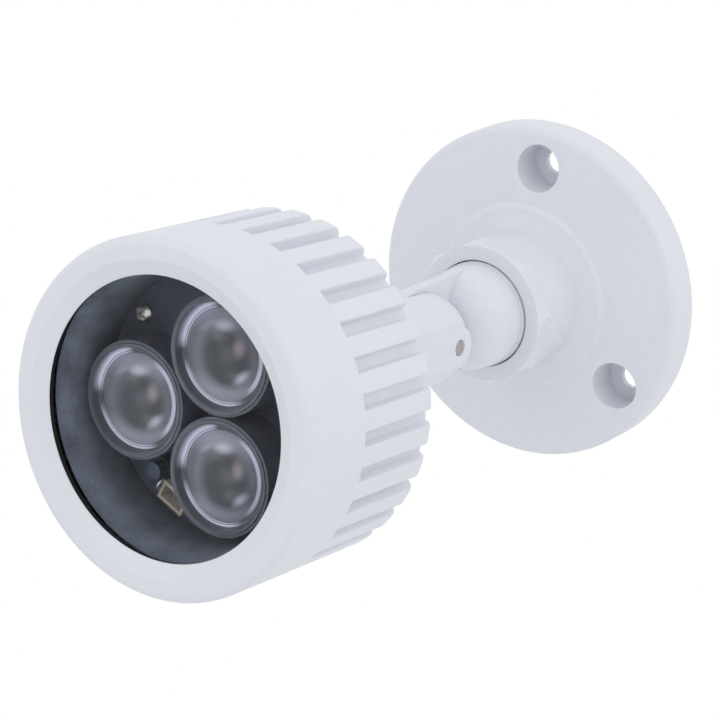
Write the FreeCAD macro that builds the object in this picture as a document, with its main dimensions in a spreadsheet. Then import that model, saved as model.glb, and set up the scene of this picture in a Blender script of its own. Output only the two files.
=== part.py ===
import FreeCAD, Part
import math
import os
import re
import Sketcher

# Infrared illuminator on a wall bracket.
# The wall is the plane Y = 0, the object reaches out along -Y and Z is up.
# The origin is the centre of the bracket's back face. All lengths are in millimetres.
# Bracket pieces are drawn with their own Z pointing away from the wall. Pieces of the
# lamp head are drawn with their own Z along the head's axis, starting at the hinge.

# Driving sizes
SIZES = {
    # lock nut and threaded collar
    "thread_radius": 11.5,
    "thread_clearance": 0.15,
    "skirt_wall": 1.15,
    "nut_wall": 1.25,
    "nut_thick": 3.3,
    "nut_chamfer": 1.6,
    "nut_turn": 4.7,
    "nut_lift": 0.1,
    "collar_wall": 1.25,
    "collar_rise": 9.8,
    "floor_rise": 1.05,
    # wall disc
    "disc_thick": 7.0,
    "face_rise": 1.4,
    "disc_margin": 2.75,
    "disc_round": 1.3,
    "back_chamfer": 0.4,
    "boss_step": 4.95,
    "boss_rise": 3.1,
    "boss_lip_rise": 0.65,
    "boss_lip_width": 1.35,
    "boss_round": 1.73,
    "mount_land": 2.45,
    "mount_angle": 84.1,
    "mount_count": 3,
    "mount_hole_radius": 2.1,
    "mount_recess_radius": 4.45,
    "mount_floor": 1.2,
    # swivel
    "washer_thick": 1.0,
    "washer_hole": 3.0,
    "washer_clearance": 0.3,
    "running_gap": 0.3,
    "flange_thick": 3.3,
    "flange_clearance": 0.5,
    "shank_clearance": 0.4,
    "line_rise": 0.7,
    "line_width": 0.3,
    "line_depth": 0.3,
    "dome_step": 0.25,
    "dome_straight": 2.3,
    "dome_round": 6.7,
    # hinge
    "rest_tilt": 4.2,
    "cheek_step": 0.25,
    "cheek_pad_depth": 1.0,
    "rod_step": 0.8,
    "rod_pad_rise": 0.2,
    "rod_pad_half": 3.65,
    "rod_pad_length": 20.0,
    "ball_gap": 0.9,
    "shoulder_gap": 0.4,
    "lap_gap": 0.3,
    "pin_radius": 1.42,
    "pin_clearance": 0.08,
    "pin_recess": 0.3,
    "pin_chamfer": 0.25,
    "hinge_washer_wall": 4.0,
    "hinge_washer_thick": 0.5,
    "hinge_washer_clearance": 0.1,
    # stem
    "stem_reach": 39.25,
    "tail_radius": 5.0,
    "tail_clearance": 0.1,
    "tail_end": 0.8,
    "stem_seal_inset": 0.4,
    "stem_seal_thick": 1.0,
    "stem_nut_wall": 2.4,
    "stem_nut_thick": 3.0,
    # lenses and their holders
    "holder_radius": 9.95,
    "holder_gap": 0.1,
    "holder_wall": 0.5,
    "holder_lip": 1.5,
    "ledge_width": 0.85,
    "ledge_level": 4.8,
    "ledge_thick": 0.7,
    "lens_angle": 61.5,
    "lens_clearance": 0.05,
    "lens_flange": 1.8,
    "lens_rim": 0.5,
    "lens_rim_depth": 1.3,
    "dish_width": 0.5,
    "dome_height": 3.2,
    "lens_waist": 0.15,
    "lens_foot_wall": 2.1,
    "lens_pocket_depth": 1.5,
    "led_clearance": 1.0,
    "led_room": 1.2,
    "led_side": 3.5,
    "led_base": 0.8,
    "led_dome": 1.4,
    # sleeve, glass and window
    "sleeve_clearance": 0.65,
    "sleeve_flare": 2.4,
    "sleeve_curve": 36.0,
    "sleeve_wall": 0.8,
    "sleeve_brim": 0.8,
    "sleeve_flange": 0.8,
    "lens_room": 2.4,
    "seat_clearance": 0.2,
    "glass_thick": 2.0,
    "gasket_thick": 0.6,
    "gasket_inset": 0.3,
    "window_inset": 1.2,
    "lip_thick": 0.6,
    "bevel_width": 2.8,
    "bevel_depth": 1.3,
    # board and spreader
    "board_thick": 1.6,
    "spreader_thick": 4.0,
    "screw_inset": 2.4,
    "screw_angle": 141.0,
    "screw_spread": 201.0,
    "screw_head_radius": 1.7,
    "screw_head_rise": 1.2,
    "screw_radius": 1.0,
    "screw_clearance": 0.1,
    "screw_grip": 3.0,
    # light sensor and lead connector
    "sensor_angle": 233.4,
    "sensor_offset": 3.84,
    "sensor_radius": 1.5,
    "sensor_length": 2.3,
    "sensor_level": 4.8,
    "sensor_wall": 0.5,
    "sensor_overlap": 0.4,
    "lead_radius": 0.25,
    "lead_spread": 0.65,
    "connector_aside": 3.609,
    "connector_drop": 4.049,
    "connector_turn": -27.0,
    "connector_width": 5.5,
    "connector_depth": 3.3,
    "connector_height": 4.0,
    "connector_wall": 0.5,
    # driver board
    "driver_clearance": 5.5,
    "driver_gap": 2.6,
    "driver_thick": 1.6,
    "driver_room": 5.5,
    "driver_grip": 1.2,
    "standoff_inset": 3.0,
    "standoff_wall": 0.9,
    "standoff_angle": 81.0,
    "coil_radius": 3.6,
    "coil_gap": 1.5,
    "coil_rim": 0.8,
    "coil_inset": 4.9,
    "coil_angle": 20.0,
    "can_radius": 2.5,
    "can_gap": 1.1,
    "can_inset": 4.9,
    "can_angle": 115.0,
    "can_space": 0.6,
    "rectifier_width": 6.0,
    "rectifier_depth": 4.6,
    "rectifier_height": 2.2,
    "rectifier_inset": 4.5,
    "rectifier_angle": 270.0,
    # rear cover and cable inlet
    "cover_thick": 3.0,
    "cover_clearance": 0.1,
    "cover_skirt_wall": 1.4,
    "ring_section": 1.2,
    "ring_depth": 1.0,
    "spanner_inset": 4.9,
    "spanner_radius": 1.0,
    "spanner_depth": 1.5,
    "gland_offset": 8.0,
    "gland_angle": 215.0,
    "gland_flange": 2.0,
    "gland_step": 1.0,
    "gland_wall": 0.8,
    "gland_tail": 1.0,
    "gland_neck": 4.0,
    "gland_cap_wall": 0.9,
    "gland_cap_end": 0.9,
    "gland_cap_round": 1.2,
    "gland_seal_wall": 0.7,
    "gland_seal_length": 3.2,
    "cable_radius": 1.5,
    # barrel
    "cover_thread_step": 0.6,
    "barrel_wall": 1.45,
    "barrel_draft": 0.3,
    "front_round": 1.6,
    "rear_round": 2.1,
    "fin_count": 31,
    "fin_phase": 22.5,
    "groove_start": 15.3,
    "groove_depth": 2.1,
    "groove_width": 2.44,
    "groove_draft": 0.12,
}

# Sizes and levels that follow from the driving sizes
DERIVED = {
    # on the bracket, levels count from the wall
    "collar_radius": "thread_radius + collar_wall",
    "boss_radius": "collar_radius + boss_step",
    "mount_ring": "boss_radius + mount_land + mount_recess_radius",
    "disc_radius": "mount_ring + mount_recess_radius + disc_margin",
    "boss_top": "disc_thick + boss_rise",
    "boss_foot": "disc_thick + face_rise",
    "collar_top": "boss_top + collar_rise",
    "collar_floor": "disc_thick + floor_rise",
    "nut_back": "collar_top + nut_lift",
    "nut_front": "nut_back + nut_thick",
    "nut_flat": "thread_radius + nut_wall",
    "nut_corner": "nut_flat / cos(22.5)",
    "nut_thread": "thread_radius - thread_clearance",
    "nut_bore": "nut_thread - skirt_wall",
    "washer_top": "collar_floor + washer_thick",
    "flange_back": "washer_top + running_gap",
    "flange_front": "flange_back + flange_thick",
    "skirt_end": "flange_front + running_gap",
    "shank_radius": "nut_bore - shank_clearance",
    "dome_radius": "shank_radius - dome_step",
    "cheek_radius": "dome_radius - cheek_step",
    "rod_radius": "cheek_radius - rod_step",
    "line_level": "nut_front + line_rise",
    "line_top": "line_level + line_width",
    "dome_top": "line_top + dome_straight + dome_round",
    "hinge_reach": "dome_top + ball_gap + rod_radius",
    "cheek_pad": "cheek_radius - cheek_pad_depth",
    "rod_pad": "rod_radius + rod_pad_rise",
    "pin_hole": "pin_radius + pin_clearance",
    "hinge_washer_radius": "pin_hole + hinge_washer_wall",
    # in the head, levels count from the hinge
    "shoulder": "cheek_radius + shoulder_gap",
    "tail_hole": "tail_radius + tail_clearance",
    "cover_back": "stem_reach + stem_seal_thick",
    "cover_front": "cover_back + cover_thick",
    "tail_top": "cover_front + stem_nut_thick + tail_end",
    "driver_back": "cover_front + driver_room",
    "driver_front": "driver_back + driver_thick",
    "spreader_back": "driver_front + driver_gap",
    "spreader_front": "spreader_back + spreader_thick",
    "board_front": "spreader_front + board_thick",
    "sleeve_front": "board_front + lens_top + lens_room",
    "glass_front": "sleeve_front + glass_thick",
    "gasket_front": "glass_front + gasket_thick",
    "lip": "gasket_front + lip_thick",
    "face": "lip + bevel_depth",
    # lenses, levels counting from the board
    "lens_ring": "(holder_radius + holder_gap) / cos(30)",
    "holder_inner": "holder_radius - holder_wall",
    "ledge_inner": "holder_inner - ledge_width",
    "ledge_top": "ledge_level + ledge_thick",
    "lens_radius": "holder_inner - lens_clearance",
    "lens_rim_top": "ledge_top + lens_flange",
    "lens_dish": "lens_rim_top - lens_rim_depth",
    "lens_dome": "lens_radius - lens_rim - dish_width",
    "lens_bulge": "(lens_dome ^ 2 + dome_height ^ 2) / (2 * dome_height)",
    "lens_top": "lens_dish + dome_height",
    "led_top": "led_base + led_dome",
    "pocket_top": "led_top + led_room",
    "pocket_radius": "led_dome + led_clearance",
    "lens_foot": "pocket_top - lens_pocket_depth",
    # radii of the barrel and what it holds
    "sleeve_throat": "lens_ring + holder_radius + sleeve_clearance",
    "sleeve_mouth": "sleeve_throat + sleeve_flare",
    "seated_radius": "sleeve_mouth + sleeve_brim",
    "bore_radius": "seated_radius + seat_clearance",
    "window_radius": "sleeve_mouth - window_inset",
    "bevel_radius": "window_radius + bevel_width",
    "cover_thread": "bore_radius + cover_thread_step",
    "cover_radius": "cover_thread - cover_clearance",
    "skirt_inner": "seated_radius - cover_skirt_wall",
    "groove_floor": "cover_thread + barrel_wall",
    "barrel_radius": "groove_floor + groove_depth + barrel_draft / 2",
    "rear_radius": "barrel_radius - barrel_draft",
    "screw_hole": "screw_radius + screw_clearance",
    "screw_ring": "sleeve_throat - screw_inset",
    "sensor_ring": "lens_ring + sensor_offset",
    "sensor_back": "sensor_level - sensor_length",
    "sensor_bore": "sensor_radius + screw_clearance / 2",
    "driver_radius": "skirt_inner - driver_clearance",
    "standoff_ring": "driver_radius - standoff_inset",
    "coil_height": "driver_room - coil_gap",
    "coil_ring": "driver_radius - coil_inset",
    "can_height": "driver_room - can_gap",
    "can_ring": "driver_radius - can_inset",
    "rectifier_ring": "driver_radius - rectifier_inset",
    "ring_low": "(cover_back + cover_front - ring_section) / 2",
    "ring_high": "(cover_back + cover_front + ring_section) / 2",
    "ring_root": "cover_radius - ring_depth",
    "spanner_ring": "skirt_inner + cover_skirt_wall - spanner_inset",
    # cable inlet, levels counting from the cover's back
    "gland_ring": "rod_radius + gland_offset",
    "gland_seal_radius": "cable_radius + gland_seal_wall",
    "gland_thread": "gland_seal_radius + gland_wall",
    "gland_hexagon": "(gland_thread + gland_step) / cos(30)",
    "neck_hole": "gland_thread + screw_clearance",
    "neck_end": "-gland_flange - gland_neck",
    "cap_radius": "neck_hole + gland_cap_wall",
    "cap_floor": "neck_end - screw_clearance",
    "cap_end": "cap_floor - gland_cap_end",
}

# Turn of an arc between two corners of an outline
LEFT, RIGHT = "left", "right"

doc = FreeCAD.newDocument("illuminator")
sheet = doc.addObject("Spreadsheet::Sheet", "sizes")
for row, (alias, number) in enumerate(SIZES.items(), 1):
    sheet.set(f"A{row}", alias)
    sheet.set(f"B{row}", str(number))
    sheet.setAlias(f"B{row}", alias)
doc.recompute()

nodes = []


def bound(formula):
    """The formula with each name led back to the sheet's driving sizes."""
    def cell(match):
        word = match[0]
        if word in DERIVED:
            return f"({bound(DERIVED[word])})"
        return "sizes." + word if word in SIZES else word
    return re.sub(r"[a-z_]+", cell, formula)


def value(formula):
    """The number that a formula gives for the sheet's present sizes."""
    result = sheet.evalExpression(bound(formula))
    return float(getattr(result, "Value", result))


def frame(x="0", y="0", z="0", axis=(0, 0, 1), angle="0"):
    """The formula of a placement: a turn about an axis, then a shift."""
    turn_axis = "create(<<vector>>; %g; %g; %g)" % axis
    turn = f"create(<<rotation>>; {turn_axis}; {angle})"
    return f"create(<<placement>>; create(<<vector>>; {x}; {y}; {z}); {turn})"


BRACKET = frame(axis=(1, 0, 0), angle="90")
HEAD = frame(y="-hinge_reach", axis=(1, 0, 0), angle="90 - rest_tilt")
ACROSS = (0, 1, 0)


def new_body(label):
    """An empty body with its label."""
    body = doc.addObject("PartDesign::Body", label)
    body.Label = label
    return body


def seat(body, *frames):
    """Put a finished sub-part in its place and list it as a node."""
    body.setExpression("Placement", bound(" * ".join(frames)))
    nodes.append(body)


def origin_plane(body, role):
    """One of the body's own origin planes or axes."""
    return next(item for item in body.Origin.OriginFeatures if item.Role == role)


def new_sketch(body, name, plane, level, shift, turn):
    """An empty sketch on an origin plane, raised, shifted and turned by formulas."""
    sketch = body.newObject("Sketcher::SketchObject", name)
    sketch.AttachmentSupport = [(origin_plane(body, plane), "")]
    sketch.MapMode = "FlatFace"
    sketch.AttachmentOffset = FreeCAD.Placement(
        FreeCAD.Vector(), FreeCAD.Rotation(FreeCAD.Vector(0, 0, 1), value(turn)))
    sketch.setExpression(".AttachmentOffset.Base.z", bound(level))
    sketch.setExpression(".AttachmentOffset.Base.x", bound(shift))
    sketch.setExpression(".AttachmentOffset.Rotation.Angle", bound(turn))
    return sketch


def fix_point(sketch, geometry, point, x, y):
    """Hold a point of a sketch at the place that two formulas give."""
    for kind, formula, axis in (("DistanceX", x, -2), ("DistanceY", y, -1)):
        if formula == "0":
            sketch.addConstraint(Sketcher.Constraint("PointOnObject", geometry, point, axis))
            continue
        index = sketch.addConstraint(
            Sketcher.Constraint(kind, -1, 1, geometry, point, value(formula)))
        sketch.setExpression(f"Constraints[{index}]", bound(formula))


def arc_between(start, end, turn, radius):
    """The shorter arc from start to end, bending left or right."""
    chord = end - start
    rise = math.sqrt(max(radius ** 2 - chord.Length ** 2 / 4, 0))
    aside = FreeCAD.Vector(-chord.y, chord.x, 0).normalize() * rise
    centre = (start + end) * 0.5 + (aside if turn == LEFT else -aside)
    first, last = (start, end) if turn == LEFT else (end, start)
    begin = math.atan2(first.y - centre.y, first.x - centre.x)
    finish = math.atan2(last.y - centre.y, last.x - centre.x)
    if finish < begin:
        finish += 2 * math.pi
    circle = Part.Circle(centre, FreeCAD.Vector(0, 0, 1), radius)
    return Part.ArcOfCircle(circle, begin, finish)


def outline(body, name, plane, path, level="0", shift="0", turn="0"):
    """A closed, fully fixed sketch through a path of corners.

    A corner is a pair of formulas. Where an arc leads on to the next corner, the
    corner also holds the arc's turn and the formula of its radius.
    """
    sketch = new_sketch(body, name, plane, level, shift, turn)
    spots = [FreeCAD.Vector(value(corner[0]), value(corner[1]), 0) for corner in path]
    ends = []
    for index, corner in enumerate(path):
        here = spots[index]
        there = spots[(index + 1) % len(path)]
        if len(corner) == 2:
            sketch.addGeometry(Part.LineSegment(here, there))
            ends.append((1, 2))
        else:
            sketch.addGeometry(arc_between(here, there, corner[2], value(corner[3])))
            ends.append((1, 2) if corner[2] == LEFT else (2, 1))
    for index, corner in enumerate(path):
        after = (index + 1) % len(path)
        sketch.addConstraint(Sketcher.Constraint(
            "Coincident", index, ends[index][1], after, ends[after][0]))
    for index, corner in enumerate(path):
        fix_point(sketch, index, ends[index][0], corner[0], corner[1])
        if len(corner) > 2:
            radius = sketch.addConstraint(
                Sketcher.Constraint("Radius", index, value(corner[3])))
            sketch.setExpression(f"Constraints[{radius}]", bound(corner[3]))
    doc.recompute()
    return sketch


def circles(body, name, plane, spots, level="0", turn="0"):
    """A sketch of circles, each given by the formulas of its centre and radius."""
    sketch = new_sketch(body, name, plane, level, "0", turn)
    for index, (x, y, radius) in enumerate(spots):
        centre = FreeCAD.Vector(value(x), value(y), 0)
        sketch.addGeometry(Part.Circle(centre, FreeCAD.Vector(0, 0, 1), value(radius)))
        fix_point(sketch, index, 3, x, y)
        size = sketch.addConstraint(Sketcher.Constraint("Radius", index, value(radius)))
        sketch.setExpression(f"Constraints[{size}]", bound(radius))
    doc.recompute()
    return sketch


def on_ring(radius, angle):
    """The formulas of a point's place on a ring."""
    return f"{radius} * cos({angle})", f"{radius} * sin({angle})"


def polygon(radius, sides, first):
    """The corners of a regular polygon as formulas."""
    return [on_ring(radius, f"{first} + {index * 360 / sides:g}") for index in range(sides)]


def box_path(left, right, low, high):
    """The corners of an upright rectangle."""
    return [(left, low), (right, low), (right, high), (left, high)]


def feature(body, kind, sketch, **settings):
    """A PartDesign feature on a sketch with its plain settings."""
    item = body.newObject(f"PartDesign::{kind}", f"{sketch.Name}_{kind.lower()}")
    item.Profile = sketch
    for name, setting in settings.items():
        setattr(item, name, setting)
    return item


def revolve(body, sketch, kind="Revolution", angle=360):
    """Turn a sketch about its own upright axis."""
    item = feature(body, kind, sketch, ReferenceAxis=(sketch, ["V_Axis"]), Angle=angle)
    doc.recompute()
    return item


def extrude(body, sketch, length, kind="Pad", reverse=False):
    """Pad a sketch along its normal, or pocket it against its normal."""
    item = feature(body, kind, sketch, Reversed=reverse)
    item.setExpression("Length", bound(length))
    doc.recompute()
    return item


def slot(body, sketch):
    """Cut a sketch right through the body, both ways."""
    item = feature(body, "Pocket", sketch, Type="ThroughAll", Midplane=True)
    doc.recompute()
    return item


def polar(body, features, count, sweep="360"):
    """Repeat features about the body's Z axis: all round, or from one end of a sweep to the other."""
    item = body.newObject("PartDesign::PolarPattern", body.Name + "_pattern")
    item.Originals = features
    item.Axis = (origin_plane(body, "Z_Axis"), [""])
    item.setExpression("Angle", bound(sweep))
    item.setExpression("Occurrences", bound(count))
    body.Tip = item
    doc.recompute()
    return item


def turned(label, path):
    """A body turned from one profile."""
    body = new_body(label)
    revolve(body, outline(body, label + "_profile", "XZ_Plane", path))
    return body


def turned_group(label, path, ring, count, sweep="360"):
    """Equal turned pieces on a ring."""
    body = new_body(label)
    sketch = outline(body, label + "_profile", "XZ_Plane", path, shift=ring)
    polar(body, [revolve(body, sketch)], count, sweep)
    return body


# Bracket

def mounting_base():
    """The wall disc with its stepped boss, threaded collar and three screw holes."""
    body = turned("mounting_base", [
        ("0", "0"),
        ("disc_radius - back_chamfer", "0"),
        ("disc_radius", "back_chamfer"),
        ("disc_radius", "disc_thick - disc_round", LEFT, "disc_round"),
        ("disc_radius - disc_round", "disc_thick"),
        ("boss_radius", "boss_foot", LEFT, "boss_round"),
        ("boss_radius - boss_lip_width", "boss_foot + boss_lip_rise"),
        ("collar_radius", "boss_top"),
        ("collar_radius", "collar_top"),
        ("thread_radius", "collar_top"),
        ("thread_radius", "collar_floor"),
        ("0", "collar_floor"),
    ])
    x, y = on_ring("mount_ring", "mount_angle")
    recess = circles(body, "screw_recess", "XY_Plane", [(x, y, "mount_recess_radius")], "boss_top")
    hole = circles(body, "screw_hole", "XY_Plane", [(x, y, "mount_hole_radius")], "boss_top")
    polar(body, [
        extrude(body, recess, "boss_top - mount_floor", "Pocket"),
        extrude(body, hole, "boss_top", "Pocket"),
    ], "mount_count")
    seat(body, BRACKET)


def lock_nut():
    """The eight-sided nut whose skirt traps the swivel's flange in the collar."""
    body = new_body("lock_nut")
    corners = polygon("nut_corner", 8, "nut_turn")
    extrude(body, outline(body, "nut_outline", "XY_Plane", corners, "nut_back"), "nut_thick")
    revolve(body, outline(body, "nut_corners", "XZ_Plane", [
        ("nut_flat", "nut_front"),
        ("nut_corner", "nut_front - nut_chamfer"),
        ("nut_corner + 1", "nut_front - nut_chamfer"),
        ("nut_corner + 1", "nut_front"),
    ]), "Groove")
    revolve(body, outline(body, "nut_skirt", "XZ_Plane", box_path(
        "0", "nut_thread", "skirt_end", "nut_back")))
    bore = circles(body, "nut_hole", "XY_Plane", [("0", "0", "nut_bore")], "nut_front")
    extrude(body, bore, "nut_front - skirt_end", "Pocket")
    seat(body, BRACKET)


def swivel_washer():
    """The friction washer on the collar's floor."""
    seat(turned("swivel_washer", box_path(
        "washer_hole", "thread_radius - washer_clearance", "collar_floor", "washer_top")), BRACKET)


def swivel():
    """The turning post: flange, shank, domed shoulder and the left half of the hinge."""
    body = new_body("swivel")
    revolve(body, outline(body, "cheek_profile", "YZ_Plane", [
        ("0", "line_top"),
        ("cheek_radius", "line_top"),
        ("cheek_radius", "hinge_reach", LEFT, "cheek_radius"),
        ("0", "hinge_reach + cheek_radius"),
    ]), angle=180)
    top = "hinge_reach + cheek_radius + 1"
    slot(body, outline(body, "cheek_lap", "XZ_Plane", box_path(
        "-lap_gap / 2", "cheek_radius + 1", "line_top - 1", top)))
    slot(body, outline(body, "cheek_flat", "XZ_Plane", box_path(
        "-cheek_radius - 1", "-cheek_pad", "dome_top", top)))
    revolve(body, outline(body, "post_profile", "XZ_Plane", [
        ("0", "flange_back"),
        ("thread_radius - flange_clearance", "flange_back"),
        ("thread_radius - flange_clearance", "flange_front"),
        ("shank_radius", "flange_front"),
        ("shank_radius", "line_level"),
        ("shank_radius - line_depth", "line_level"),
        ("shank_radius - line_depth", "line_top"),
        ("dome_radius", "line_top"),
        ("dome_radius", "dome_top - dome_round", LEFT, "dome_round"),
        ("dome_radius - dome_round", "dome_top"),
        ("0", "dome_top"),
    ]))
    recess = circles(body, "washer_recess", "YZ_Plane", [
        ("0", "hinge_reach", "hinge_washer_radius + hinge_washer_clearance")], "-lap_gap / 2")
    extrude(body, recess, "hinge_washer_thick", "Pocket")
    slot(body, circles(body, "cheek_pin_hole", "YZ_Plane", [("0", "hinge_reach", "pin_hole")]))
    seat(body, BRACKET)


def hinge_pin():
    """The steel pin through both halves of the hinge, with chamfered ends."""
    left = "(pin_recess - cheek_pad)"
    right = "(rod_pad - pin_recess)"
    body = turned("hinge_pin", [
        ("0", left),
        ("pin_radius - pin_chamfer", left),
        ("pin_radius", f"{left} + pin_chamfer"),
        ("pin_radius", f"{right} - pin_chamfer"),
        ("pin_radius - pin_chamfer", right),
        ("0", right),
    ])
    seat(body, BRACKET, frame(z="hinge_reach", axis=ACROSS, angle="90"))


def hinge_washer():
    """The thin friction washer let into the swivel's hinge face."""
    body = turned("hinge_washer", box_path(
        "pin_hole", "hinge_washer_radius", "0", "hinge_washer_thick"))
    back = "-lap_gap / 2 - hinge_washer_thick"
    seat(body, BRACKET, frame(x=back, z="hinge_reach", axis=ACROSS, angle="90"))


# Head

def stem():
    """The ball-ended rod that carries the head, with the right half of the hinge and its pad."""
    body = turned("stem", [
        ("0", "-rod_radius", LEFT, "rod_radius"),
        ("rod_radius", "0"),
        ("rod_radius", "stem_reach"),
        ("tail_radius", "stem_reach"),
        ("tail_radius", "tail_top"),
        ("0", "tail_top"),
    ])
    extrude(body, outline(body, "stem_pad", "YZ_Plane", [
        ("-rod_pad_half", "rod_pad_length"),
        ("-rod_pad_half", "0", LEFT, "rod_pad_half"),
        ("0", "-rod_pad_half", LEFT, "rod_pad_half"),
        ("rod_pad_half", "0"),
        ("rod_pad_half", "rod_pad_length"),
    ]), "rod_pad")
    slot(body, outline(body, "stem_lap", "XZ_Plane", box_path(
        "-rod_radius - 1", "lap_gap / 2", "-rod_radius - 1", "shoulder")))
    slot(body, circles(body, "stem_pin_hole", "YZ_Plane", [("0", "0", "pin_hole")]))
    seat(body, HEAD)


def stem_seal():
    """The rubber washer between the stem's shoulder and the rear cover."""
    seat(turned("stem_seal", box_path(
        "tail_hole", "rod_radius - stem_seal_inset", "stem_reach", "cover_back")), HEAD)


def stem_nut():
    """The hexagon nut that holds the stem inside the cover."""
    body = new_body("stem_nut")
    corners = polygon("(tail_hole + stem_nut_wall) / cos(30)", 6, "30")
    sketch = outline(body, "stem_nut_outline", "XY_Plane", corners, "cover_front")
    extrude(body, sketch, "stem_nut_thick")
    slot(body, circles(body, "stem_nut_hole", "XY_Plane", [("0", "0", "tail_hole")]))
    seat(body, HEAD)


def housing():
    """The cast barrel: bevelled window rim, smooth nose and cooling grooves to the rear."""
    body = turned("housing", [
        ("cover_thread", "stem_reach"),
        ("rear_radius - rear_round", "stem_reach", LEFT, "rear_round"),
        ("rear_radius", "stem_reach + rear_round"),
        ("barrel_radius", "face - front_round", LEFT, "front_round"),
        ("barrel_radius - front_round", "face"),
        ("bevel_radius", "face"),
        ("window_radius", "lip"),
        ("window_radius", "gasket_front"),
        ("bore_radius", "gasket_front"),
        ("bore_radius", "cover_front"),
        ("cover_thread", "cover_front"),
    ])
    foot = "(groove_width / 2 - groove_draft)"
    rim = "(groove_width / 2 + groove_draft / 2)"
    groove = outline(body, "groove_outline", "XY_Plane", [
        ("groove_floor", f"-{foot}"),
        ("barrel_radius + 1", f"-{rim}"),
        ("barrel_radius + 1", rim),
        ("groove_floor", foot),
    ], "face - groove_start", turn="fin_phase")
    polar(body, [extrude(body, groove, "face - groove_start - stem_reach", "Pocket")], "fin_count")
    seat(body, HEAD)


def window_gasket():
    """The black ring between the housing's lip and the glass."""
    seat(turned("window_gasket", box_path(
        "window_radius + gasket_inset", "seated_radius", "glass_front", "gasket_front")), HEAD)


def window_glass():
    """The clear round window."""
    seat(turned("window_glass", box_path("0", "seated_radius", "sleeve_front", "glass_front")), HEAD)


def reflector_sleeve():
    """The black flared sleeve from the glass back to the board."""
    seat(turned("reflector_sleeve", [
        ("sleeve_throat", "board_front"),
        ("sleeve_throat + sleeve_wall", "board_front", RIGHT, "sleeve_curve"),
        ("sleeve_mouth", "sleeve_front - sleeve_flange"),
        ("seated_radius", "sleeve_front - sleeve_flange"),
        ("seated_radius", "sleeve_front"),
        ("sleeve_mouth", "sleeve_front", LEFT, "sleeve_curve"),
    ]), HEAD)


def drilled_disc(label, radius, back, front, hole, count, sweep="360"):
    """A round plate with equal holes on a ring."""
    body = turned(label, box_path("0", radius, back, front))
    sketch = circles(body, label + "_hole", "XY_Plane", [hole], front)
    polar(body, [extrude(body, sketch, f"{front} - ({back})", "Pocket")], count, sweep)
    return body


def led_board():
    """The round board that carries the lamps."""
    hole = (*on_ring("screw_ring", "screw_angle"), "screw_hole")
    seat(drilled_disc(
        "led_board", "seated_radius", "spreader_front", "board_front", hole, "2", "screw_spread"), HEAD)


def heat_spreader():
    """The thick metal disc behind the board, drilled for the board's screws."""
    hole = (*on_ring("screw_ring", "screw_angle"), "screw_hole")
    seat(drilled_disc(
        "heat_spreader", "seated_radius", "spreader_back", "spreader_front", hole, "2",
        "screw_spread"), HEAD)


def screw_path(base, length):
    """Half the section of a pan-head screw whose shank points to -Z."""
    return [
        ("0", f"{base} - ({length})"),
        ("screw_radius", f"{base} - ({length})"),
        ("screw_radius", base),
        ("screw_head_radius", base),
        ("screw_head_radius", f"{base} + screw_head_rise / 3", LEFT, "screw_head_radius"),
        ("screw_head_radius * 0.3", f"{base} + screw_head_rise"),
        ("0", f"{base} + screw_head_rise"),
    ]


def board_screws():
    """Two pan-head screws through the board into the spreader."""
    path = screw_path("board_front", "board_thick + screw_grip")
    screws = turned_group("board_screws", path, "screw_ring", "2", "screw_spread")
    seat(screws, HEAD, frame(angle="screw_angle"))


def lamp(name, angle):
    """One lamp: its diode, the holder round it and the clear lens on the holder's ledge."""
    place = frame(*on_ring("lens_ring", angle), "board_front")

    diode = new_body("led_" + name)
    square = box_path("-led_side / 2", "led_side / 2", "-led_side / 2", "led_side / 2")
    extrude(diode, outline(diode, "diode_base", "XY_Plane", square), "led_base")
    revolve(diode, outline(diode, "diode_dome", "XZ_Plane", [
        ("0", "0"),
        ("led_dome", "0"),
        ("led_dome", "led_base", LEFT, "led_dome"),
        ("0", "led_top"),
    ]))
    seat(diode, HEAD, place)

    seat(turned("lens_holder_" + name, [
        ("holder_inner", "0"),
        ("holder_radius", "0"),
        ("holder_radius", "ledge_top + holder_lip"),
        ("holder_inner", "ledge_top + holder_lip"),
        ("holder_inner", "ledge_top"),
        ("ledge_inner", "ledge_top"),
        ("ledge_inner", "ledge_level"),
        ("holder_inner", "ledge_level"),
    ]), HEAD, place)

    seat(turned("lens_" + name, [
        ("0", "pocket_top"),
        ("pocket_radius", "pocket_top"),
        ("pocket_radius", "lens_foot"),
        ("pocket_radius + lens_foot_wall", "lens_foot"),
        ("ledge_inner - lens_waist", "ledge_top"),
        ("lens_radius", "ledge_top"),
        ("lens_radius", "lens_rim_top"),
        ("lens_radius - lens_rim", "lens_rim_top"),
        ("lens_radius - lens_rim - dish_width / 2", "lens_dish"),
        ("lens_dome", "lens_dish", LEFT, "lens_bulge"),
        ("0", "lens_top"),
    ]), HEAD, place)


def sensor_place():
    """The formula of the light sensor's place on the board."""
    return frame(*on_ring("sensor_ring", "sensor_angle"), "board_front")


def light_sensor():
    """The small round light sensor on two leads, and the dark sleeve that holds it up."""
    place = sensor_place()
    sensor = turned("light_sensor", box_path("0", "sensor_radius", "sensor_back", "sensor_level"))
    leads = circles(sensor, "sensor_leads", "XY_Plane", [
        ("lead_spread", "0", "lead_radius"), ("-lead_spread", "0", "lead_radius")])
    extrude(sensor, leads, "sensor_back + sensor_length / 2")
    seat(sensor, HEAD, place)
    seat(turned("sensor_sleeve", box_path(
        "sensor_bore", "sensor_bore + sensor_wall", "0", "sensor_back + sensor_overlap")), HEAD, place)


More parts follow.
